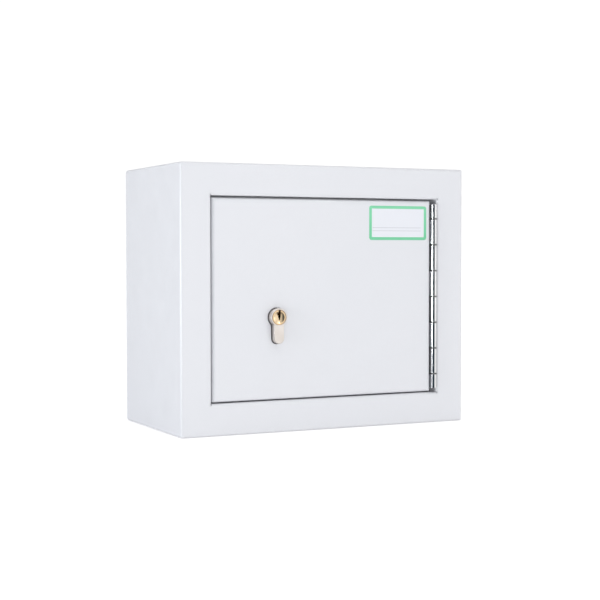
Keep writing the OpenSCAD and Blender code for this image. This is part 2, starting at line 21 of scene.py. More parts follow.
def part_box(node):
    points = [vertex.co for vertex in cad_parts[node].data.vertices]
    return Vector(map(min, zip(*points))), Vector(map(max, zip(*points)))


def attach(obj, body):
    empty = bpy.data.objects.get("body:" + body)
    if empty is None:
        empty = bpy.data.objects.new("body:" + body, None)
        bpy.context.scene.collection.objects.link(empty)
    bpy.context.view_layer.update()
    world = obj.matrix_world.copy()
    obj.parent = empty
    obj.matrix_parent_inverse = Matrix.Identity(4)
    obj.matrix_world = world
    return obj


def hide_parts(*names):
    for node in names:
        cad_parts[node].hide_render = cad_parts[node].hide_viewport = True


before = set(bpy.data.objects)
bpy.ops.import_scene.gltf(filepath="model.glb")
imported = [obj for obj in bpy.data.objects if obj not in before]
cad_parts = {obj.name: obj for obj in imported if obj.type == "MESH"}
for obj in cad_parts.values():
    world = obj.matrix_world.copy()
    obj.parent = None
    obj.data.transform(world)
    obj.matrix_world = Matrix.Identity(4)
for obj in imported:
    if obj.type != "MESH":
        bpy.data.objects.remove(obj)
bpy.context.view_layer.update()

MM = 0.001
LOG = logging.getLogger("medicine_cabinet")
Triple = tuple[float, float, float]
Span = tuple[float, float]


# ---- node trees --------------------------------------------------------------


class Wire:
    """A socket that is used like a number: an expression on it adds its Math nodes."""

    def __init__(self, bench: Bench, socket: bpy.types.NodeSocket) -> None:
        """Wraps a socket.

        Args:
            bench: The bench of the tree that holds the socket.
            socket: An output socket.
        """
        self.bench = bench
        self.socket = socket

    def _math(self, operation: str, *terms: Feed) -> Wire:
        """Adds one Math node.

        Args:
            operation: The node's operation.
            terms: Its inputs, in order.

        Returns:
            The node's result.
        """
        sockets = dict(enumerate(terms))
        return self.bench.add("ShaderNodeMath", {"operation": operation}, sockets)["Value"]

    def __add__(self, other: Feed) -> Wire:
        """Sum."""
        return self._math("ADD", self, other)

    def __radd__(self, other: Feed) -> Wire:
        """Sum with a number on the left."""
        return self._math("ADD", other, self)

    def __sub__(self, other: Feed) -> Wire:
        """Difference."""
        return self._math("SUBTRACT", self, other)

    def __rsub__(self, other: Feed) -> Wire:
        """Difference from a number on the left."""
        return self._math("SUBTRACT", other, self)

    def __mul__(self, other: Feed) -> Wire:
        """Product."""
        return self._math("MULTIPLY", self, other)

    def __rmul__(self, other: Feed) -> Wire:
        """Product with a number on the left."""
        return self._math("MULTIPLY", other, self)

    def __truediv__(self, other: Feed) -> Wire:
        """Quotient."""
        return self._math("DIVIDE", self, other)

    def __rtruediv__(self, other: Feed) -> Wire:
        """Quotient of a number on the left."""
        return self._math("DIVIDE", other, self)

    def __mod__(self, other: Feed) -> Wire:
        """Remainder."""
        return self._math("FLOORED_MODULO", self, other)

    def __rmod__(self, other: Feed) -> Wire:
        """Remainder of a number on the left."""
        return self._math("FLOORED_MODULO", other, self)

    def __abs__(self) -> Wire:
        """Size without its sign."""
        return self._math("ABSOLUTE", self)

    def __lt__(self, other: Feed) -> Wire:
        """One where this is less than the other, else zero."""
        return self._math("LESS_THAN", self, other)

    def __gt__(self, other: Feed) -> Wire:
        """One where this is more than the other, else zero; a number < this comes here too."""
        return self._math("GREATER_THAN", self, other)

    def floor(self) -> Wire:
        """Whole part."""
        return self._math("FLOOR", self)

    def cos(self) -> Wire:
        """Cosine of an angle in radians."""
        return self._math("COSINE", self)

    def sin(self) -> Wire:
        """Sine of an angle in radians."""
        return self._math("SINE", self)

    def root(self) -> Wire:
        """Square root."""
        return self._math("SQRT", self)

    def swing(self, width: float) -> Wire:
        """A share from 0 to 1 as a swing about zero, from end to end that wide."""
        return (self - 0.5) * width


Feed = Wire | float | int | bool | Sequence[float] | bpy.types.Material


class Placed:
    """A node on the bench, whose outputs are taken by name or number."""

    def __init__(self, bench: Bench, node: bpy.types.Node) -> None:
        """Keeps the node and its bench.

        Args:
            bench: The bench of the tree that holds the node.
            node: The node.
        """
        self.bench = bench
        self.node = node

    def __getitem__(self, key: str | int) -> Wire:
        """The output with that name, identifier or number."""
        return Wire(self.bench, find_socket(self.node.outputs, key))


def find_socket(
    sockets: Iterable[bpy.types.NodeSocket], key: str | int
) -> bpy.types.NodeSocket:
    """Finds a socket by number, identifier or name.

    Args:
        sockets: A node's inputs or outputs.
        key: Number, identifier or name.

    Returns:
        The socket.
    """
    listed = list(sockets)
    if isinstance(key, int):
        return listed[key]
    same = [s for s in listed if s.identifier == key]
    same = same or [s for s in listed if s.name == key and s.enabled]
    if not same:
        raise KeyError(f"no socket {key!r} among {[s.identifier for s in listed]}")
    return same[0]


class Bench:
    """A node tree, with the one method that adds a node and a few that use it."""

    def __init__(self, tree: bpy.types.NodeTree) -> None:
        """Starts on an empty tree.

        Args:
            tree: The tree, whose nodes are removed.
        """
        self.tree = tree
        tree.nodes.clear()

    def add(
        self,
        kind: str,
        settings: Mapping[str, object] | None = None,
        sockets: Mapping[str | int, Feed] | None = None,
    ) -> Placed:
        """Adds any node.

        Args:
            kind: The node's type.
            settings: Its properties, set first; "items" is the length of an index switch.
            sockets: Values or wires for its inputs, by name, identifier or number.

        Returns:
            The node.
        """
        node = self.tree.nodes.new(kind)
        for key, value in (settings or {}).items():
            if key == "items":
                for _ in range(value - len(node.index_switch_items)):
                    node.index_switch_items.new()
            else:
                setattr(node, key, value)
        for key, value in (sockets or {}).items():
            socket = find_socket(node.inputs, key)
            for one in value if isinstance(value, list) else [value]:
                if isinstance(one, Wire):
                    self.tree.links.new(one.socket, socket)
                else:
                    socket.default_value = one
        return Placed(self, node)

    def vector(self, operation: str, *terms: Feed) -> Wire:
        """One Vector Math node.

        Args:
            operation: The node's operation.
            terms: Its inputs, in order.

        Returns:
            Its vector, or its number where the operation gives one.
        """
        made = self.add("ShaderNodeVectorMath", {"operation": operation}, dict(enumerate(terms)))
        return made["Value" if operation == "DOT_PRODUCT" else "Vector"]

    def join(self, x: Feed, y: Feed, z: Feed) -> Wire:
        """A vector from three numbers."""
        return self.add("ShaderNodeCombineXYZ", {}, {"X": x, "Y": y, "Z": z})["Vector"]

    def split(self, vector: Wire) -> Placed:
        """The three numbers of a vector, as outputs X, Y and Z."""
        return self.add("ShaderNodeSeparateXYZ", {}, {"Vector": vector})

    def blend(self, first: Feed, second: Feed, share: Feed) -> Wire:
        """A colour between two.

        Args:
            first: Colour at share 0.
            second: Colour at share 1.
            share: From 0 to 1.

        Returns:
            The mixed colour.
        """
        sockets = {"Factor_Float": share, "A_Color": opaque(first), "B_Color": opaque(second)}
        return self.add("ShaderNodeMix", {"data_type": "RGBA"}, sockets)["Result_Color"]

    def spot(self) -> Wire:
        """The piece's own coordinates, in metres."""
        return self.add("ShaderNodeTexCoord")["Object"]

    def noise(
        self, place: Wire, size: float, detail: float, squeeze: Triple = (1.0, 1.0, 1.0)
    ) -> Wire:
        """Soft noise from 0 to 1.

        Args:
            place: The coordinates.
            size: Distance between the blots, in metres.
            detail: Finer layers on top of the first.
            squeeze: Share of the noise's pace kept along each axis.

        Returns:
            The noise.
        """
        scaled = self.vector("MULTIPLY", place, tuple(s / size for s in squeeze))
        sockets = {"Vector": scaled, "Scale": 1.0, "Detail": detail}
        return self.add("ShaderNodeTexNoise", {}, sockets)["Fac"]

    def bump(self, height: Wire, depth: float) -> Wire:
        """A normal that follows a height.

        Args:
            height: The height, from 0 to 1.
            depth: The height's full range, in metres.

        Returns:
            The normal.
        """
        sockets = {"Strength": 1.0, "Distance": depth, "Height": height}
        return self.add("ShaderNodeBump", {}, sockets)["Normal"]

    def ramp(self, value: Feed, low: float, high: float) -> Wire:
        """Share from 0 to 1 of the way of a value from low to high, with gentle ends.

        Args:
            value: The value.
            low: Where the share is 0.
            high: Where the share is 1.

        Returns:
            The share.
        """
        settings = {"interpolation_type": "SMOOTHSTEP"}
        sockets = {"Value": value, "From Min": low, "From Max": high}
        return self.add("ShaderNodeMapRange", settings, sockets)["Result"]


def opaque(colour: Feed) -> Feed:
    """A plain colour with its alpha, or the wire as it is."""
    return colour if isinstance(colour, Wire) else (*colour[:3], 1.0)


# ---- finishes ------------------------------------------------------------------


@dataclass(frozen=True)
class Finish:
    """A surface finish; each kind says how its sockets are fed."""

    name: str

    def skin(self, bench: Bench) -> dict[str, Feed]:
        """Feeds of the surface shader's sockets.

        Args:
            bench: The bench of the finish's tree.

        Returns:
            Socket name to value or wire.
        """
        raise NotImplementedError

    def material(self) -> bpy.types.Material:
        """The finish's material, made the first time it is asked for.

        Returns:
            The material.
        """
        known = bpy.data.materials.get(self.name)
        if known:
            return known
        made = bpy.data.materials.new(self.name)
        made.use_nodes = True
        bench = Bench(made.node_tree)
        shader = bench.add("ShaderNodeBsdfPrincipled", {}, self.skin(bench))["BSDF"]
        bench.add("ShaderNodeOutputMaterial", {}, {"Surface": shader})
        return made


@dataclass(frozen=True)
class PowderCoat(Finish):
    """White powder coat on steel sheet: soft gloss over fine orange peel."""

    tone: Triple = (0.755, 0.762, 0.793)
    cloud_tone: Triple = (0.745, 0.753, 0.786)
    cloud_size: float = 160 * MM
    cloud_span: Span = (0.3, 0.7)
    peel_size: float = 1.3 * MM
    peel_depth: float = 0.012 * MM
    grit_fineness: float = 6.0
    grit_share: float = 0.15
    roughness: float = 0.28
    cloud_swing: float = 0.03
    grit_swing: float = 0.06
    index: float = 1.5
    gloss: float = 0.7
    gloss_roughness: float = 0.28

    def skin(self, bench: Bench) -> dict[str, Feed]:
        """Feeds of the surface shader's sockets.

        Args:
            bench: The bench of the finish's tree.

        Returns:
            Socket name to value or wire.
        """
        place = bench.spot()
        clouds = bench.ramp(bench.noise(place, self.cloud_size, 3.0), *self.cloud_span)
        peel = bench.noise(place, self.peel_size, 2.0)
        grit = bench.noise(place, self.peel_size / self.grit_fineness, 1.0)
        roughness = self.roughness + clouds.swing(self.cloud_swing) + grit.swing(self.grit_swing)
        return {
            "Base Color": bench.blend(self.tone, self.cloud_tone, clouds),
            "Roughness": roughness,
            "Normal": bench.bump(peel + grit * self.grit_share, self.peel_depth),
            "IOR": self.index,
            "Coat Weight": self.gloss,
            "Coat Roughness": self.gloss_roughness,
        }


class Grain(Enum):
    """How a metal surface was worked: share of the noise's pace kept along each axis."""

    ALONG_X = (0.03, 1.0, 1.0)
    ALONG_Z = (1.0, 1.0, 0.03)
    EVEN = (1.0, 1.0, 1.0)


@dataclass(frozen=True)
class WorkedMetal(Finish):
    """Bare or plated metal with the fine lines of its working."""

    tone: Triple = (0.75, 0.75, 0.75)
    worn_tone: Triple = (0.6, 0.6, 0.6)
    roughness: float = 0.25
    line: float = 0.25 * MM
    depth: float = 0.002 * MM
    grain: Grain = Grain.EVEN
    stain_size: float = 14 * MM
    stain_span: Span = (0.35, 0.75)
    stain_wear: float = 0.5
    stain_dulling: float = 0.06
    line_wear: float = 0.25
    line_swing: float = 0.12

    def skin(self, bench: Bench) -> dict[str, Feed]:
        """Feeds of the surface shader's sockets.

        Args:
            bench: The bench of the finish's tree.

        Returns:
            Socket name to value or wire.
        """
        place = bench.spot()
        lines = bench.noise(place, self.line, 3.0, self.grain.value)
        stain = bench.ramp(bench.noise(place, self.stain_size, 4.0), *self.stain_span)
        wear = stain * self.stain_wear + lines * self.line_wear
        return {
            "Base Color": bench.blend(self.tone, self.worn_tone, wear),
            "Roughness": self.roughness + lines.swing(self.line_swing) + stain * self.stain_dulling,
            "Metallic": 1.0,
            "Normal": bench.bump(lines, self.depth),
        }


@dataclass(frozen=True)
class KnuckleMetal(WorkedMetal):
    """Plated metal with painted shade in the joints between a hinge's knuckles: dark, rougher and
    less metallic there.
    """

    joint_shade_tone: Triple = (0.045, 0.042, 0.040)
    middle_z: float = 0.0
    pitch: float = 25.4 * MM
    reach: float = 0.95 * MM
    core_share: float = 0.45
    cover: float = 0.8
    dulling: float = 0.4

    def skin(self, bench: Bench) -> dict[str, Feed]:
        """Feeds of the surface shader's sockets.

        Args:
            bench: The bench of the finish's tree.

        Returns:
            Socket name to value or wire.
        """
        feeds = super().skin(bench)
        # Painted shade: near each joint between knuckles the colour turns dark, rougher and less
        # metallic.
        height = bench.split(bench.spot())["Z"] - self.middle_z
        beside = abs((height + self.pitch / 2) % self.pitch - self.pitch / 2)
        joint_shade = 1 - bench.ramp(beside, self.reach * self.core_share, self.reach)
        feeds["Base Color"] = bench.blend(feeds["Base Color"], self.joint_shade_tone, joint_shade)
        feeds["Roughness"] = feeds["Roughness"] + joint_shade * self.dulling
        feeds["Metallic"] = 1 - joint_shade * self.cover
        return feeds


@dataclass(frozen=True)
class TurnedMetal(Finish):
    """Metal turned in a lathe about an axis along Y, with fine rings."""

    tone: Triple = (0.93, 0.745, 0.49)
    rim_tone: Triple = (0.72, 0.48, 0.28)
    axis_x: float = 0.0
    axis_z: float = 0.0
    rim_radius: float = 7 * MM
    rim_start: float = 0.8
    rim_share: float = 0.6
    ring: float = 0.16 * MM
    ring_swing: float = 0.16
    depth: float = 0.0025 * MM
    tarnish_size: float = 5 * MM
    tarnish_share: float = 0.4
    tarnish_dulling: float = 0.08
    roughness: float = 0.17

    def skin(self, bench: Bench) -> dict[str, Feed]:
        """Feeds of the surface shader's sockets.

        Args:
            bench: The bench of the finish's tree.

        Returns:
            Socket name to value or wire.
        """
        centred = bench.vector("SUBTRACT", bench.spot(), (self.axis_x, 0.0, self.axis_z))
        parts = bench.split(centred)
        radius = (parts["X"] * parts["X"] + parts["Z"] * parts["Z"]).root()
        turns = (radius + parts["Y"]) / self.ring
        sockets = {"W": turns, "Scale": 1.0, "Detail": 3.0}
        rings = bench.add("ShaderNodeTexNoise", {"noise_dimensions": "1D"}, sockets)["Fac"]
        tarnish = bench.noise(centred, self.tarnish_size, 4.0)
        rim = bench.ramp(radius, self.rim_radius * self.rim_start, self.rim_radius)
        wear = rim * self.rim_share + tarnish * self.tarnish_share
        dulling = tarnish * self.tarnish_dulling
        return {
            "Base Color": bench.blend(self.tone, self.rim_tone, wear),
            "Roughness": self.roughness + rings.swing(self.ring_swing) + dulling,
            "Metallic": 1.0,
            "Normal": bench.bump(rings, self.depth),
        }


@dataclass(frozen=True)
class Rubber(Finish):
    """Dark rubber with a fine moulded grain."""

    tone: Triple = (0.035, 0.036, 0.038)
    bloom_tone: Triple = (0.075, 0.075, 0.078)
    bloom_size: float = 3 * MM
    bloom_span: Span = (0.4, 0.8)
    grain_size: float = 0.3 * MM
    grain_depth: float = 0.02 * MM
    grain_swing: float = 0.2
    roughness: float = 0.7

    def skin(self, bench: Bench) -> dict[str, Feed]:
        """Feeds of the surface shader's sockets.

        Args:
            bench: The bench of the finish's tree.

        Returns:
            Socket name to value or wire.
        """
        place = bench.spot()
        grain = bench.noise(place, self.grain_size, 3.0)
        bloom = bench.ramp(bench.noise(place, self.bloom_size, 3.0), *self.bloom_span)
        return {
            "Base Color": bench.blend(self.tone, self.bloom_tone, bloom),
            "Roughness": self.roughness + grain.swing(self.grain_swing),
            "Normal": bench.bump(grain, self.grain_depth),
        }


@dataclass(frozen=True)
class StickerPrint(Finish):
    """White laminated paper with a green border and two faint ruled lines."""

    centre: Triple = (0.0, 0.0, 0.0)
    half_w: float = 32 * MM
    half_h: float = 16.5 * MM
    border: float = 2.8 * MM
    print_edge: float = 0.12 * MM
    paper: Triple = (0.80, 0.812, 0.86)
    green: Triple = (0.165, 0.60, 0.335)
    pale_green: Triple = (0.235, 0.68, 0.41)
    upward_paling_share: float = 0.8
    rule_tone: Triple = (0.50, 0.51, 0.55)
    rule_middle: float = -1.3 * MM
    rule_half: float = 27 * MM
    rule_heights: tuple[float, ...] = (-4.6 * MM, -7.6 * MM)
    rule_w: float = 0.35 * MM
    fibre_size: float = 0.5 * MM
    fibre_depth: float = 0.003 * MM
    fibre_share: float = 0.2
    fibre_swing: float = 0.08
    roughness: float = 0.42
    index: float = 1.46

    def skin(self, bench: Bench) -> dict[str, Feed]:
        """Feeds of the surface shader's sockets.

        Args:
            bench: The bench of the finish's tree.

        Returns:
            Socket name to value or wire.
        """
        place = bench.spot()
        parts = bench.split(bench.vector("SUBTRACT", place, self.centre))
        field = 1.0
        for part, half in ((parts["X"], self.half_w), (parts["Z"], self.half_h)):
            beyond = abs(part) - (half - self.border)
            field = (1 - bench.ramp(beyond, -self.print_edge, self.print_edge)) * field
        # The green is paler towards the top of the sticker.
        upward_paling = bench.ramp(parts["Z"], -self.half_h, self.half_h)
        fibre = bench.noise(place, self.fibre_size, 3.0)
        depth = upward_paling * self.upward_paling_share + fibre * self.fibre_share
        ink = bench.blend(self.green, self.pale_green, depth)
        beside = abs(parts["X"] - self.rule_middle) < self.rule_half
        ruled = 0.0
        for height in self.rule_heights:
            ruled = beside * (abs(parts["Z"] - height) < self.rule_w / 2) + ruled
        return {
            "Base Color": bench.blend(ink, bench.blend(self.paper, self.rule_tone, ruled), field),
            "Roughness": self.roughness + fibre.swing(self.fibre_swing),
            "Normal": bench.bump(fibre, self.fibre_depth),
            "IOR": self.index,
        }


@dataclass(frozen=True)
class PaleFloor(Finish):
    """Matt white studio floor."""

    tone: Triple = (0.95, 0.95, 0.95)
    dull_tone: Triple = (0.94, 0.94, 0.94)
    cloud_size: float = 0.4
    roughness: float = 0.9
    lift: float = 0.30

    def skin(self, bench: Bench) -> dict[str, Feed]:
        """Feeds of the surface shader's sockets.

        Args:
            bench: The bench of the finish's tree.

        Returns:
            Socket name to value or wire.
        """
        clouds = bench.noise(bench.spot(), self.cloud_size, 3.0)
        return {
            "Base Color": bench.blend(self.tone, self.dull_tone, clouds),
            "Roughness": self.roughness,
            "Specular IOR Level": 0.0,
            "Emission Color": opaque((1.0, 1.0, 1.0)),
            "Emission Strength": self.lift,
        }


LOCK_AXIS = (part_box("plug")[0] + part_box("plug")[1]) / 2
HINGE_MIDDLE = (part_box("hinge_pin")[0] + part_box("hinge_pin")[1]) / 2
PIN_COUNT = 5
PIN_PITCH = 3.6 * MM
WELD = 0.001 * MM

PAINT = PowderCoat("powder_coat_white")
ZINC = WorkedMetal(
    "bright_zinc",
    tone=(0.86, 0.87, 0.89),
    worn_tone=(0.72, 0.74, 0.78),
    roughness=0.38,
    line=0.5 * MM,
)
ZINC_HINGE = KnuckleMetal(
    "bright_zinc_hinge",
    middle_z=HINGE_MIDDLE.z,
    tone=(0.83, 0.83, 0.83),
    worn_tone=(0.72, 0.73, 0.75),
    roughness=0.13,
    line=0.3 * MM,
    grain=Grain.ALONG_Z,
)
NICKEL = WorkedMetal(
    "satin_nickel",
    tone=(0.90, 0.845, 0.80),
    worn_tone=(0.82, 0.745, 0.68),
    roughness=0.30,
    line=0.16 * MM,
    grain=Grain.ALONG_X,
)
BRASS = TurnedMetal("turned_brass", axis_x=LOCK_AXIS.x, axis_z=LOCK_AXIS.z)
PIN_BRASS = WorkedMetal(
    "pin_brass", tone=(0.85, 0.63, 0.32), worn_tone=(0.7, 0.48, 0.24), roughness=0.26
)
STEEL = WorkedMetal(
    "ground_steel",
    tone=(0.58, 0.585, 0.60),
    worn_tone=(0.42, 0.42, 0.44),
    roughness=0.30,
    line=0.2 * MM,
    grain=Grain.ALONG_X,
)
SPRING_STEEL = WorkedMetal(
    "spring_steel", tone=(0.50, 0.51, 0.53), worn_tone=(0.36, 0.37, 0.40), roughness=0.28
)
RUBBER = Rubber("black_rubber")
FLOOR = PaleFloor("studio_floor")


# ---- pieces ----------------------------------------------------------------------


def new_object(name: str, mesh: bpy.types.Mesh) -> bpy.types.Object:
    """Links a mesh to the scene.

    Args:
        name: Name of the piece.
        mesh: Its mesh, with its place in it.

    Returns:
        The object, at the origin.
    """
    made = bpy.data.objects.new(name, mesh)
    bpy.context.scene.collection.objects.link(made)
    return made


@contextmanager
def opened(mesh: bpy.types.Mesh) -> Iterator[bmesh.types.BMesh]:
    """Opens a mesh to be edited, and writes it back.

    Args:
        mesh: The mesh.

    Yields:
        Its editable copy.
    """
    shell = bmesh.new()
    shell.from_mesh(mesh)
    yield shell
    shell.to_mesh(mesh)
    shell.free()


def set_down(piece: bpy.types.Object) -> None:
    """Applies the piece's modifiers, so that a plain mesh is left.

    Args:
        piece: The object.
    """
    graph = bpy.context.evaluated_depsgraph_get()
    plain = bpy.data.meshes.new_from_object(
        piece.evaluated_get(graph), preserve_all_data_layers=True, depsgraph=graph
    )
    plain.name = piece.name
    piece.modifiers.clear()
    piece.data = plain


def shade_by_area(piece: bpy.types.Object, sharp_degrees: float) -> None:
    """Shades flat faces flat and narrow rounds smooth, and leaves a plain mesh.

    Args:
        piece: The object.
        sharp_degrees: Angle past which an edge stays sharp.
    """
    piece.data.shade_smooth()
    piece.data.set_sharp_from_angle(angle=math.radians(sharp_degrees))
    weighted = piece.modifiers.new("area_normals", "WEIGHTED_NORMAL")
    weighted.keep_sharp = True
    set_down(piece)


def hand_over(
    piece: bpy.types.Object, body: str, nodes: Sequence[str] = ()
) -> None:
    """Puts a piece on its body and reports it.

    Args:
        piece: The finished piece.
        body: The body that it rides on.
        nodes: The solids that it stands for.
    """
    if nodes:
        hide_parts(*nodes)
    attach(piece, body)
    LOG.info("%s rides on %s: %d faces", piece.name, body, len(piece.data.polygons))


@dataclass(frozen=True)
class SoftEdged:
    """A solid whose cut edges are broken: a merged copy with a small round along each."""

    node: str
    name: str
    edge: float
    finish: Finish
    slot: str
    least_degrees: float = 52.0
    smooth_degrees: float = 52.0
    flat_degrees: float = 0.2
    weld: float = 0.002 * MM
    steps: int = 2

    def blank(self) -> bpy.types.Mesh:
        """Copies the solid's mesh and merges its loose corners.

        Returns:
            The copy.
        """
        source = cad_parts[self.node].data
        mesh = bpy.data.meshes.new(self.name)
        faces = [tuple(p.vertices) for p in source.polygons]
        mesh.from_pydata([v.co for v in source.vertices], [], faces)
        with opened(mesh) as shell:
            bmesh.ops.remove_doubles(shell, verts=shell.verts, dist=self.weld)
        return mesh

    def build(self, body: str) -> None:
        """Makes the piece and hands it over.

        Args:
            body: The body that it rides on.
        """
        mesh = self.blank()
        least = math.radians(self.least_degrees)
        with opened(mesh) as shell:
            bmesh.ops.dissolve_limit(
                shell,
                angle_limit=math.radians(self.flat_degrees),
                verts=shell.verts,
                edges=shell.edges,
                delimit=set(),
            )
            broken = [e for e in shell.edges if e.is_manifold and e.calc_face_angle(0.0) > least]
            bmesh.ops.bevel(
                shell,
                geom=broken,
                offset=self.edge,
                offset_type="OFFSET",
                segments=self.steps,
                profile=0.5,
                affect="EDGES",
                clamp_overlap=False,
                loop_slide=True,
                material=-1,
            )
            bmesh.ops.triangulate(shell, faces=[f for f in shell.faces if len(f.verts) > 4])
        piece = new_object(self.name, mesh)
        mesh.materials.clear()
        mesh.materials.append(self.finish.material())
        shade_by_area(piece, self.smooth_degrees)
        hand_over(piece, body, [self.node])


def dress(nodes: Mapping[str, Finish]) -> None:
    """Gives solids that stay as they are their finishes.

    Args:
        nodes: Name of each solid, and its finish.
    """
    for name, finish in nodes.items():
        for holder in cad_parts[name].material_slots:
            holder.material = finish.material()
        LOG.info("%s keeps its solid and takes %s", name, finish.name)


class Jig:
    """A geometry tree with named sizes, which is run once and leaves a plain mesh."""

    def __init__(self, name: str, blank: bpy.types.Mesh | None = None) -> None:
        """Starts an empty tree.

        Args:
            name: Name of the piece that it makes.
            blank: A mesh that the tree works on, if it has one.
        """
        self.name = name
        self.blank = blank
        self.tree = bpy.data.node_groups.new(f"{name}_jig", "GeometryNodeTree")
        self.bench = Bench(self.tree)
        panel = self.tree.interface
        panel.new_socket(name="Geometry", in_out="OUTPUT", socket_type="NodeSocketGeometry")
        if blank:
            panel.new_socket(name="Blank", in_out="INPUT", socket_type="NodeSocketGeometry")
        self.values: dict[str, Feed] = {}
        self.entry = self.bench.add("NodeGroupInput")

    def size(self, name: str, value: float | int | Sequence[float]) -> Wire:
        """Adds a named input.

        Args:
            name: Name of the size.
            value: Its value on this piece.

        Returns:
            The input's wire.
        """
        kinds = {int: "NodeSocketInt", float: "NodeSocketFloat"}
        kind = kinds.get(type(value), "NodeSocketVector")
        socket = self.tree.interface.new_socket(name=name, in_out="INPUT", socket_type=kind)
        self.values[socket.identifier] = value
        return self.entry[name]

    def turned(self, outline: Sequence[tuple[Feed, Feed]], around: int = 32) -> Wire:
        """A solid turned about Z.

        Args:
            outline: Radius and height of each point, from the lower pole to the upper one.
            around: Number of sides.

        Returns:
            The solid's mesh.
        """
        bench, rows = self.bench, len(outline)
        index = bench.add("GeometryNodeInputIndex")["Index"]
        column = (index / rows).floor()
        points = [bench.join(radius, height, 0.0) for radius, height in outline]
        sockets = {"Index": index - column * rows} | dict(enumerate(points, 1))
        settings = {"data_type": "VECTOR", "items": rows}
        chosen = bench.add("GeometryNodeIndexSwitch", settings, sockets)["Output"]
        parts = bench.split(chosen)
        angle = column * (math.tau / around)
        place = bench.join(parts["X"] * angle.cos(), parts["X"] * angle.sin(), parts["Y"])
        sides = {"Vertices X": around + 1, "Vertices Y": rows}
        grid = bench.add("GeometryNodeMeshGrid", {}, sides)["Mesh"]
        moved = {"Geometry": grid, "Position": place}
        bent = bench.add("GeometryNodeSetPosition", {}, moved)["Geometry"]
        weld = {"Geometry": bent, "Distance": WELD}
        return bench.add("GeometryNodeMergeByDistance", {}, weld)["Geometry"]

    def row(
        self, part: Wire, count: Wire, start: Wire, step: Feed, turn: Triple = (0.0, 0.0, 0.0)
    ) -> Wire:
        """Copies of a part along a line.

        Args:
            part: The part's mesh, about Z at the origin.
            count: Number of copies.
            start: Place of the first one.
            step: From one copy to the next.
            turn: Turn of each copy, in radians.

        Returns:
            The instances.
        """
        line = {"Count": count, "Start Location": start, "Offset": step}
        points = self.bench.add("GeometryNodeMeshLine", {}, line)["Mesh"]
        sockets = {"Points": points, "Instance": part, "Rotation": turn}
        return self.bench.add("GeometryNodeInstanceOnPoints", {}, sockets)["Instances"]

    def moved(self, part: Wire, place: Feed, turn: Triple) -> Wire:
        """A mesh at a place, turned.

        Args:
            part: The mesh.
            place: Where its origin goes.
            turn: Its turn, in radians.

        Returns:
            The mesh there.
        """
        sockets = {"Geometry": part, "Translation": place, "Rotation": turn}
        return self.bench.add("GeometryNodeTransform", {}, sockets)["Geometry"]

    def cut(self, block: Wire, tools: Wire | list[Wire]) -> Wire:
        """A shape with others taken out of it.

        Args:
            block: The shape's mesh.
            tools: Mesh or meshes to take out.

        Returns:
            What is left.
        """
        settings = {"operation": "DIFFERENCE", "solver": "EXACT"}
        sockets = {"Mesh 1": block, "Mesh 2": tools}
        return self.bench.add("GeometryNodeMeshBoolean", settings, sockets)["Mesh"]

    def run(
        self, shapes: Sequence[Wire], finish: Finish, sharp_degrees: float = 40.0
    ) -> bpy.types.Object:
        """Ends the tree, runs it and leaves a plain mesh.

        Args:
            shapes: The instances or meshes to keep.
            finish: The finish.
            sharp_degrees: Angle past which an edge stays sharp.

        Returns:
            The piece.
        """
        bench = self.bench
        parts = {"Geometry": list(reversed(shapes))}
        joined = bench.add("GeometryNodeJoinGeometry", {}, parts)["Geometry"]
        real = bench.add("GeometryNodeRealizeInstances", {}, {"Geometry": joined})["Geometry"]
        coat = {"Geometry": real, "Material": finish.material()}
        dressed = bench.add("GeometryNodeSetMaterial", {}, coat)["Geometry"]
        bench.add("NodeGroupOutput", {}, {"Geometry": dressed})
        piece = new_object(self.name, self.blank or bpy.data.meshes.new(self.name))
        modifier = piece.modifiers.new("jig", "NODES")
        modifier.node_group = self.tree
        for identifier, value in self.values.items():
            modifier[identifier] = value
        set_down(piece)
        with opened(piece.data) as shell:
            bmesh.ops.remove_doubles(shell, verts=shell.verts, dist=WELD)
            bmesh.ops.recalc_face_normals(shell, faces=shell.faces)
        shade_by_area(piece, sharp_degrees)
        return piece


# ---- sub-assemblies ----------------------------------------------------------------


def dome(
    radius: Wire, share: float, base: Wire, rise: Wire, angles: Iterable[float]
) -> list[tuple[Wire, Wire]]:
    """Points up a round, for a turned solid's outline.

    Args:
        radius: Radius where the round's angle is 0.
        share: Share of the radius that the round takes off.
        base: Height where its angle is 0.
        rise: Its height at 90 degrees, from there.
        angles: Angle of each point, in degrees.

    Returns:
        Radius and height of each point.
    """
    turns = [math.radians(angle) for angle in angles]
    return [(radius * (1 - share + share * math.cos(t)), base + rise * math.sin(t)) for t in turns]


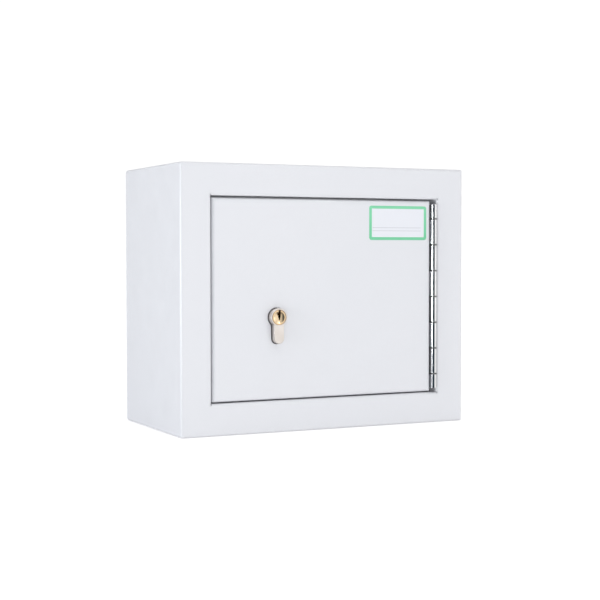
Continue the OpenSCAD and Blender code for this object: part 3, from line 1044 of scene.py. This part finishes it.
@dataclass
class HingeRivets:
    """One leaf's row of countersunk rivets, with their domed tails behind the sheet."""

    name: str
    body: str
    node: str
    towards: int
    shank_r: float = 1.6 * MM
    head_r: float = 2.7 * MM
    head_depth: float = 0.9 * MM
    head_rim: float = 0.12 * MM
    grip: float = 2.7 * MM
    count: int = 6
    dome_degrees: tuple[float, ...] = (24.0, 37.2, 50.4, 63.6, 76.8)
    dome_base: float = 0.4
    sides: int = 24

    def build(self) -> None:
        """Makes the row."""
        low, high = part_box(self.node)
        first = (low.x if self.towards > 0 else high.x, (low.y + high.y) / 2, low.z + self.head_r)
        jig = Jig(self.name)
        shank = jig.size("Shank radius", self.shank_r)
        head = jig.size("Head radius", self.head_r)
        depth = jig.size("Head depth", self.head_depth)
        grip = jig.size("Grip", self.grip)
        tail = jig.size("Tail height", high.x - low.x - self.grip)
        count = jig.size("Count", self.count)
        pitch = jig.size("Pitch", (high.z - low.z - 2 * self.head_r) / (self.count - 1))
        start = jig.size("First rivet", first)
        rim = self.head_rim
        outline = [(0.0, 0.0), (head - rim, 0.0), (head, rim / 2), (shank, depth), (shank, grip)]
        rise = tail / (1 - self.dome_base)
        outline += dome(head, 1.0, grip - rise * self.dome_base, rise, self.dome_degrees)
        outline.append((0.0, grip + tail))
        turn = (0.0, math.pi / 2 * self.towards, 0.0)
        rivet = jig.turned(outline, self.sides)
        row = jig.row(rivet, count, start, jig.bench.join(0.0, 0.0, pitch), turn)
        hand_over(jig.run([row], ZINC), self.body, [self.node])


@dataclass
class PianoHinge:
    """The door's hinge: two leaves with alternate knuckles on one pin, and their rivets."""

    break_edge: float = 0.35 * MM

    def build(self) -> None:
        """Makes the leaves and the rivets, and finishes the pin."""
        for node, name, body in (
            ("hinge_frame_leaf", "frame_leaf_and_knuckles", "cabinet"),
            ("hinge_door_leaf", "door_leaf_and_knuckles", "door"),
        ):
            SoftEdged(node, name, self.break_edge, ZINC_HINGE, "zinc").build(body)
        HingeRivets("frame_leaf_rivets", "cabinet", "frame_rivets", 1).build()
        HingeRivets("door_leaf_rivets", "door", "door_rivets", -1).build()
        dress({"hinge_pin": STEEL})


@dataclass
class StopBuffers:
    """The rubber buffers on the door stop."""

    radius: float = 3 * MM
    height: float = 1.1 * MM
    shoulder: float = 0.45 * MM
    crown_degrees: tuple[float, ...] = (30.0, 60.0, 80.0)
    crown_share: float = 0.3
    flat_share: float = 0.5
    count: int = 2

    def build(self) -> None:
        """Makes both buffers."""
        low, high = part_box("door_buffers")
        first = ((low.x + high.x) / 2, high.y, low.z + self.radius)
        jig = Jig("stop_buffers")
        radius = jig.size("Radius", self.radius)
        height = jig.size("Height", self.height)
        shoulder = jig.size("Shoulder", self.shoulder)
        spread = jig.size("Spread", high.z - low.z - 2 * self.radius)
        start = jig.size("Lower buffer", first)
        outline = [(0.0, 0.0), (radius, 0.0), (radius, shoulder)]
        crown = height - shoulder
        outline += dome(radius, self.crown_share, shoulder, crown, self.crown_degrees)
        outline += [(radius * self.flat_share, height), (0.0, height)]
        step = jig.bench.join(0.0, 0.0, spread)
        count = jig.size("Count", self.count)
        row = jig.row(jig.turned(outline), count, start, step, (math.pi / 2, 0.0, 0.0))
        hand_over(jig.run([row], RUBBER), "cabinet", ["door_buffers"])


@dataclass
class CabinetBody:
    """The painted body with its face frame, back panel, shelf and rails."""

    sheet_edge: float = 0.28 * MM

    def build(self) -> None:
        """Makes the painted sheet pieces and the stop buffers."""
        for node, name in (
            ("body_shell", "cabinet_wrapper"),
            ("back_panel", "rear_panel"),
            ("shelf", "shelf_plate"),
            ("shelf_rail_left", "shelf_bracket_left"),
            ("shelf_rail_right", "shelf_bracket_right"),
        ):
            SoftEdged(node, name, self.sheet_edge, PAINT, "paint").build("cabinet")
        StopBuffers().build()


@dataclass
class DoorSticker:
    """The paper sticker in the door's upper corner: a thin plate with round corners."""

    left: float = 44.2 * MM
    right: float = 108.0 * MM
    low: float = 55.0 * MM
    high: float = 88.0 * MM
    thickness: float = 0.16 * MM
    corner: float = 2.4 * MM
    corner_steps: int = 8
    edge_share: float = 1 / 3
    sharp_degrees: float = 35.0

    def outline(self) -> list[tuple[float, float]]:
        """The plate's outline.

        Returns:
            Points in X and Z, counter-clockwise seen from the front.
        """
        points = []
        radius = self.corner
        corners = (
            (self.right - radius, self.high - radius, 0),
            (self.left + radius, self.high - radius, 90),
            (self.left + radius, self.low + radius, 180),
            (self.right - radius, self.low + radius, 270),
        )
        for x, z, first in corners:
            for step in range(self.corner_steps + 1):
                angle = math.radians(first + 90 * step / self.corner_steps)
                points.append((x + radius * math.cos(angle), z + radius * math.sin(angle)))
        return points

    def build(self) -> None:
        """Makes the sticker."""
        door_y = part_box("door_skin")[0].y
        centre = ((self.left + self.right) / 2, door_y, (self.low + self.high) / 2)
        finish = StickerPrint(
            "sticker_print",
            centre=centre,
            half_w=(self.right - self.left) / 2,
            half_h=(self.high - self.low) / 2,
        )
        mesh = bpy.data.meshes.new("door_sticker")
        with opened(mesh) as shell:
            base = shell.faces.new([shell.verts.new((x, door_y, z)) for x, z in self.outline()])
            raised = bmesh.ops.extrude_face_region(shell, geom=[base])["geom"]
            front = [v for v in raised if isinstance(v, bmesh.types.BMVert)]
            bmesh.ops.translate(shell, verts=front, vec=(0.0, -self.thickness, 0.0))
            rim = [e for e in shell.edges if all(v in front for v in e.verts)]
            edge = self.thickness * self.edge_share
            bmesh.ops.bevel(shell, geom=rim, offset=edge, segments=2, profile=0.5, affect="EDGES")
            bmesh.ops.recalc_face_normals(shell, faces=shell.faces)
        mesh.materials.append(finish.material())
        piece = new_object("door_sticker", mesh)
        shade_by_area(piece, self.sharp_degrees)
        hand_over(piece, "door")


@dataclass
class CaseScrews:
    """The four pan-head screws with cross recesses that hold the lock's cover and case."""

    shank_r: float = 2 * MM
    shank: float = 18.5 * MM
    point_share: float = 0.7
    point_h: float = 0.3 * MM
    neck_h: float = 0.05 * MM
    head_r: float = 3.8 * MM
    head_h: float = 2.2 * MM
    head_rim: float = 0.2 * MM
    head_rim_h: float = 0.15 * MM
    pan_degrees: tuple[float, ...] = (15.0, 35.0, 55.0, 75.0)
    pan_r_share: float = 0.65
    pan_h_share: float = 0.75
    recess: float = 4.2 * MM
    slot: float = 1.0 * MM
    slot_depth: float = 1.3 * MM
    slot_degrees: tuple[float, ...] = (45.0, 135.0)
    in_row: int = 2
    sharp_degrees: float = 35.0

    def build(self) -> None:
        """Makes the screws."""
        low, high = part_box("case_screws")
        jig = Jig("lock_case_screws")
        bench = jig.bench
        shank_r = jig.size("Shank radius", self.shank_r)
        shank = jig.size("Shank length", self.shank)
        head_r = jig.size("Head radius", self.head_r)
        head_h = jig.size("Head height", self.head_h)
        recess = jig.size("Recess width", self.recess)
        slot = jig.size("Slot width", self.slot)
        depth = jig.size("Slot depth", self.slot_depth)
        count = jig.size("Screws in a row", self.in_row)
        spacing = jig.size("Row spacing", high.z - low.z - 2 * self.head_r)
        outline = [(0.0, -1 * shank), (shank_r * self.point_share, -1 * shank)]
        outline += [(shank_r, self.point_h - shank), (shank_r, -self.neck_h)]
        outline += [(head_r - self.head_rim, 0.0), (head_r, self.head_rim_h)]
        rise = head_h * self.pan_h_share
        outline += dome(head_r, self.pan_r_share, head_h - rise, rise, self.pan_degrees)
        outline.append((0.0, head_h))
        block = {"Size": bench.join(recess, slot, depth * 2)}
        arm = bench.add("GeometryNodeMeshCube", {}, block)["Mesh"]
        top = bench.join(0.0, 0.0, head_h)
        turns = [(0.0, 0.0, math.radians(degrees)) for degrees in self.slot_degrees]
        screw = jig.cut(jig.turned(outline), [jig.moved(arm, top, turn) for turn in turns])
        step = bench.join(0.0, 0.0, spacing)
        rows = []
        for number, x in enumerate((low.x + self.head_r, high.x - self.head_r), 1):
            place = (x, high.y - self.head_h, low.z + self.head_r)
            start = jig.size(f"Lower screw {number}", place)
            rows.append(jig.row(screw, count, start, step, (-math.pi / 2, 0.0, 0.0)))
        piece = jig.run(rows, ZINC, self.sharp_degrees)
        hand_over(piece, "door", ["case_screws"])


@dataclass
class PinSprings:
    """The five coil springs behind the driver pins."""

    coil_r: float = 1.03 * MM
    wire_r: float = 0.21 * MM
    turns: float = 6.0
    end_room: float = 1.2
    turn_steps: int = 20
    wire_sides: int = 8
    sharp_degrees: float = 60.0

    def build(self) -> None:
        """Makes the springs."""
        low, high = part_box("pin_springs")
        edge = self.coil_r + self.wire_r
        jig = Jig("pin_spring_row")
        bench = jig.bench
        coil_r = jig.size("Coil radius", self.coil_r)
        wire_r = jig.size("Wire radius", self.wire_r)
        room = self.end_room * self.wire_r
        height = jig.size("Height", high.z - low.z - 2 * room)
        turns = jig.size("Turns", self.turns)
        count = jig.size("Count", PIN_COUNT)
        pitch = jig.size("Pitch", PIN_PITCH)
        start = jig.size("First spring", (LOCK_AXIS.x, low.y + edge, low.z + room))
        sockets = {
            "Resolution": self.turn_steps,
            "Rotations": turns,
            "Start Radius": coil_r,
            "End Radius": coil_r,
            "Height": height,
        }
        coil = bench.add("GeometryNodeCurveSpiral", {}, sockets)["Curve"]
        section = {"Resolution": self.wire_sides, "Radius": wire_r}
        circle = bench.add("GeometryNodeCurvePrimitiveCircle", {}, section)["Curve"]
        sweep = {"Curve": coil, "Profile Curve": circle, "Fill Caps": True}
        spring = bench.add("GeometryNodeCurveToMesh", {}, sweep)["Mesh"]
        row = jig.row(spring, count, start, bench.join(0.0, pitch, 0.0))
        piece = jig.run([row], SPRING_STEEL, self.sharp_degrees)
        hand_over(piece, "door", ["pin_springs"])


@dataclass
class PinRow:
    """The brass pins of the cylinder: round, with broken ends or a blunt tip."""

    name: str
    body: str
    node: str
    low: float
    tips: tuple[float, ...]
    radius: float = 1.35 * MM
    tip_r: float = 0.6 * MM
    tip_h: float = 0.8 * MM
    edge: float = 0.12 * MM
    sides: int = 20

    def build(self) -> None:
        """Makes the row."""
        least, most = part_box(self.node)
        jig = Jig(self.name)
        radius = jig.size("Radius", self.radius)
        tip_r = jig.size("Tip radius", self.tip_r)
        tip_h = jig.size("Tip height", self.tip_h)
        edge = jig.size("Broken edge", self.edge)
        one = jig.size("Count", 1)
        pins = []
        first = Vector(((least.x + most.x) / 2, least.y + self.radius, LOCK_AXIS.z + self.low))
        for number, tip in enumerate(self.tips):
            length = jig.size(f"Length {number + 1}", tip - self.low)
            outline = [(0.0, 0.0), (radius - edge, 0.0), (radius, edge), (radius, length - tip_h)]
            outline += [(tip_r + edge, length - edge), (tip_r, length), (0.0, length)]
            place = first + Vector((0.0, number * PIN_PITCH, 0.0))
            start = jig.size(f"Place {number + 1}", tuple(place))
            pin = jig.turned(outline, self.sides)
            pins.append(jig.row(pin, one, start, (0.0, 0.0, 0.0)))
        hand_over(jig.run(pins, PIN_BRASS), self.body, [self.node])


@dataclass(frozen=True)
class DishedPlug(SoftEdged):
    """The cylinder's plug, whose face is turned to a shallow dish round the keyway."""

    dish_r: float = 5.5 * MM
    dish_depth: float = 1.0 * MM
    dish_steps: int = 9
    dish_sides: int = 64
    overshoot: float = 1.04
    cutter_h: float = 1 * MM

    def blank(self) -> bpy.types.Mesh:
        """Turns the dish out of the merged copy.

        Returns:
            The copy.
        """
        jig = Jig("plug_face", super().blank())
        reach = jig.size("Dish radius", self.dish_r)
        depth = jig.size("Dish depth", self.dish_depth)
        outline = []
        for step in range(self.dish_steps + 1):
            share = step / self.dish_steps * self.overshoot
            outline.append((reach * share, depth * (share * share - 1)))
        outline += [(reach * self.overshoot, self.cutter_h), (0.0, self.cutter_h)]
        face = (LOCK_AXIS.x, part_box(self.node)[0].y, LOCK_AXIS.z)
        cutter = jig.moved(jig.turned(outline, self.dish_sides), face, (math.pi / 2, 0.0, 0.0))
        piece = jig.run([jig.cut(jig.entry["Blank"], cutter)], self.finish)
        mesh = piece.data
        bpy.data.objects.remove(piece)
        return mesh


@dataclass
class LockCylinder:
    """The half euro profile cylinder with its plug, pins, springs, cam and clip."""

    shell_edge: float = 0.3 * MM
    plug_edge: float = 0.12 * MM
    plug_smooth_degrees: float = 12.0
    cam_edge: float = 0.2 * MM
    driver_low: float = -11.9 * MM
    driver_top: float = -6.9 * MM
    driver_tip_r: float = 1.1 * MM
    driver_tip_h: float = 0.2 * MM
    key_low: float = -6.058 * MM
    key_drop_mm: float = 2.3
    key_lifts_mm: tuple[float, ...] = (0.2, 0.9, 0.4, 1.1, 0.6)

    def build(self) -> None:
        """Makes the cylinder's pieces and finishes its small solids."""
        shell = SoftEdged(
            "cylinder_body", "cylinder_shell", self.shell_edge, NICKEL, "nickel", steps=3
        )
        shell.build("door")
        smooth = self.plug_smooth_degrees
        plug = DishedPlug(
            "plug", "keyed_plug", self.plug_edge, BRASS, "brass", smooth_degrees=smooth
        )
        plug.build("lock_plug")
        SoftEdged("cam", "plug_cam", self.cam_edge, STEEL, "steel").build("lock_plug")
        PinSprings().build()
        drivers = PinRow(
            "driver_pin_row",
            "door",
            "driver_pins",
            self.driver_low,
            (self.driver_top,) * PIN_COUNT,
            tip_r=self.driver_tip_r,
            tip_h=self.driver_tip_h,
        )
        drivers.build()
        tips = tuple((lift - self.key_drop_mm) * MM for lift in self.key_lifts_mm)
        PinRow("key_pin_row", "lock_plug", "key_pins", self.key_low, tips).build()
        dress({"cylinder_screw": ZINC, "plug_clip": SPRING_STEEL})


@dataclass
class LockCase:
    """The lock's zinc-plated case and cover behind the door, with the bolt."""

    plate_edge: float = 0.25 * MM
    bolt_edge: float = 0.3 * MM

    def build(self) -> None:
        """Makes the case, cover, screws and bolt, and finishes the stud and spring."""
        SoftEdged("lock_case", "lock_box", self.plate_edge, ZINC, "zinc").build("door")
        SoftEdged("lock_cover", "lock_lid", self.plate_edge, ZINC, "zinc").build("door")
        SoftEdged("bolt", "sliding_bolt", self.bolt_edge, STEEL, "steel").build("lock_bolt")
        CaseScrews().build()
        dress({"bolt_stud": STEEL, "detent_spring": SPRING_STEEL})


@dataclass
class Door:
    """The painted door pan with its inner panel and its sticker."""

    sheet_edge: float = 0.28 * MM

    def build(self) -> None:
        """Makes the door's painted pieces and the sticker."""
        SoftEdged("door_skin", "door_pan", self.sheet_edge, PAINT, "paint").build("door")
        SoftEdged("door_panel", "door_liner", self.sheet_edge, PAINT, "paint").build("door")
        DoorSticker().build()


# ---- studio --------------------------------------------------------------------------


@dataclass(frozen=True)
class Softbox:
    """A studio light that faces a point."""

    name: str
    place: Triple
    target: Triple
    width: float
    height: float
    power: float
    tone: Triple = (1.0, 1.0, 1.0)
    mirrored: bool = True

    def build(self) -> None:
        """Adds the light."""
        lamp = bpy.data.lights.new(self.name, "AREA")
        lamp.shape, lamp.size, lamp.size_y = "RECTANGLE", self.width, self.height
        lamp.energy, lamp.color = self.power, self.tone
        aim = Vector(self.target) - Vector(self.place)
        turn = aim.to_track_quat("-Z", "Y").to_matrix().to_4x4()
        place_lamp(lamp, Matrix.Translation(self.place) @ turn, self.mirrored)


@dataclass(frozen=True)
class Ceiling:
    """A broad even light from straight above."""

    name: str
    strength: float
    spread_degrees: float

    def build(self) -> None:
        """Adds the light."""
        lamp = bpy.data.lights.new(self.name, "SUN")
        lamp.energy, lamp.angle = self.strength, math.radians(self.spread_degrees)
        place_lamp(lamp, Matrix())


def lobe(bench: Bench, heading: Wire, towards: Triple, inner: float, outer: float) -> Wire:
    """Share from 1 near a direction to 0 away from it.

    Args:
        bench: The bench of the world's tree.
        heading: Where the ray goes.
        towards: The direction.
        inner: Degrees from it up to which the share is 1.
        outer: Degrees from it where the share is 0.

    Returns:
        The share.
    """
    facing = bench.vector("DOT_PRODUCT", heading, tuple(Vector(towards).normalized()))
    low, high = (math.cos(math.radians(degrees)) for degrees in (outer, inner))
    return bench.ramp(facing, low, high)


def place_lamp(lamp: bpy.types.Light, place: Matrix, mirrored: bool = True) -> None:
    """Links a light to the scene.

    Args:
        lamp: The light.
        place: Where it is and how it is turned.
        mirrored: Whether shiny faces mirror it.
    """
    holder = bpy.data.objects.new(lamp.name, lamp)
    bpy.context.scene.collection.objects.link(holder)
    holder.matrix_world = place
    holder.visible_camera = False
    holder.visible_glossy = mirrored


@dataclass(frozen=True)
class Studio:
    """Pale floor, soft white room with a dark doorway behind the camera, lights and camera."""

    floor_z: float = -125 * MM
    floor_half: float = 9.0
    room: Triple = (0.55, 0.55, 0.55)
    room_left: Triple = (0.53, 0.55, 0.59)
    dark: Triple = (0.020, 0.034, 0.052)
    dark_towards: Triple = (-0.56, -0.83, 0.0)
    dark_inner: float = 22.0
    dark_outer: float = 44.0
    glow: Triple = (1.05, 1.05, 1.05)
    glow_towards: Triple = (0.58, -0.81, -0.04)
    glow_inner: float = 12.0
    glow_outer: float = 42.0
    under: Triple = (0.24, 0.21, 0.19)
    dark_low: float = -0.55
    dark_high: float = 0.55
    dark_fade: float = 0.15
    left_span: Span = (-0.4, 0.9)
    under_span: Span = (0.3, 0.55)
    backdrop: float = 1.05
    camera_place: Triple = (-0.58383, -1.27657, 0.04281)
    yaw: float = 0.4566631
    pitch: float = 0.0353010
    roll: float = 0.001278
    lens: float = 80.331
    sensor: float = 36.0
    near: float = 0.02
    far: float = 60.0
    lights: tuple[Softbox | Ceiling, ...] = (
        Softbox(
            "top_light",
            place=(-0.3, -0.7, 0.75),
            target=(0.0, -0.15, 0.0),
            width=0.5,
            height=0.5,
            power=0.3,
        ),
        Softbox(
            "side_light",
            place=(-1.28, -0.38, 0.0),
            target=(-0.14, -0.12, 0.0),
            width=0.30,
            height=0.24,
            power=3.55,
            tone=(0.97, 0.99, 1.0),
        ),
        Softbox(
            "right_spark",
            place=(1.4, -1.05, 0.12),
            target=(-0.05, -0.15, -0.02),
            width=0.12,
            height=0.46,
            power=0.4,
        ),
        Softbox(
            "high_spark",
            place=(0.62, -1.3, 0.72),
            target=(-0.05, -0.15, -0.02),
            width=0.40,
            height=0.14,
            power=0.7,
        ),
        Softbox(
            "fill_light",
            place=(-1.38, -2.81, 0.10),
            target=(0.0, -0.15, 0.0),
            width=0.28,
            height=0.28,
            power=12.6,
            mirrored=False,
        ),
        Ceiling("ceiling_light", strength=1.0, spread_degrees=70.0),
    )

    def build_floor(self) -> None:
        """Adds the floor, which shiny metal doesn't mirror."""
        half = self.floor_half
        mesh = bpy.data.meshes.new("studio_floor")
        corners = [(-half, -half, self.floor_z), (half, -half, self.floor_z)]
        corners += [(half, half, self.floor_z), (-half, half, self.floor_z)]
        mesh.from_pydata(corners, [], [(0, 1, 2, 3)])
        mesh.materials.append(FLOOR.material())
        floor = new_object("studio_floor", mesh)
        floor.visible_glossy = False

    def build_world(self) -> None:
        """Lights the scene from all round, and shows white behind the floor."""
        world = bpy.data.worlds.new("soft_room")
        world.use_nodes = True
        bench = Bench(world.node_tree)
        heading = bench.add("ShaderNodeTexCoord")["Generated"]
        level = bench.vector("NORMALIZE", bench.vector("MULTIPLY", heading, (1.0, 1.0, 0.0)))
        dusk = lobe(bench, level, self.dark_towards, self.dark_inner, self.dark_outer)
        bright = lobe(bench, heading, self.glow_towards, self.glow_inner, self.glow_outer)
        rise = bench.split(heading)["Z"]
        above = bench.ramp(rise, self.dark_low - self.dark_fade, self.dark_low)
        over = bench.ramp(rise, self.dark_high, self.dark_high + self.dark_fade)
        band = dusk * above * (1 - over)
        leftness = bench.ramp(bench.split(heading)["X"] * -1, *self.left_span)
        walls = bench.blend(self.room, self.room_left, leftness)
        walls = bench.blend(walls, self.glow, bright)
        below = bench.ramp(rise * -1, *self.under_span)
        shade = bench.blend(bench.blend(walls, self.under, below), self.dark, band)
        around = {"Color": shade, "Strength": 1.0}
        room = bench.add("ShaderNodeBackground", {}, around)["Background"]
        white = {"Color": opaque((1.0, 1.0, 1.0)), "Strength": self.backdrop}
        backdrop = bench.add("ShaderNodeBackground", {}, white)["Background"]
        seen = bench.add("ShaderNodeLightPath")["Is Camera Ray"]
        both = bench.add("ShaderNodeMixShader", {}, {0: seen, 1: room, 2: backdrop})["Shader"]
        bench.add("ShaderNodeOutputWorld", {}, {"Surface": both})
        bpy.context.scene.world = world

    def build_camera(self) -> None:
        """Adds the camera and makes it the scene's."""
        sin_yaw, cos_yaw = math.sin(self.yaw), math.cos(self.yaw)
        sin_pitch, cos_pitch = math.sin(self.pitch), math.cos(self.pitch)
        ahead = Vector((sin_yaw * cos_pitch, cos_yaw * cos_pitch, -sin_pitch))
        level = Vector((cos_yaw, -sin_yaw, 0.0))
        down = ahead.cross(level)
        right = math.cos(self.roll) * level + math.sin(self.roll) * down
        below = -math.sin(self.roll) * level + math.cos(self.roll) * down
        lens = bpy.data.cameras.new("camera")
        lens.lens, lens.sensor_width = self.lens, self.sensor
        lens.clip_start, lens.clip_end = self.near, self.far
        camera = bpy.data.objects.new("camera", lens)
        bpy.context.scene.collection.objects.link(camera)
        turn = Matrix((right, -below, -ahead)).transposed().to_4x4()
        camera.matrix_world = Matrix.Translation(self.camera_place) @ turn
        bpy.context.scene.camera = camera

    def build(self) -> None:
        """Adds the floor, the surroundings, the lights and the camera."""
        self.build_floor()
        self.build_world()
        for light in self.lights:
            light.build()
        self.build_camera()
        bpy.context.scene.view_settings.view_transform = "Standard"


def main() -> None:
    """Builds the cabinet's dress and its studio."""
    logging.basicConfig(level=logging.INFO, format="%(name)s: %(message)s")
    Studio().build()
    CabinetBody().build()
    PianoHinge().build()
    Door().build()
    LockCase().build()
    LockCylinder().build()


if __name__ == "__main__":
    main()
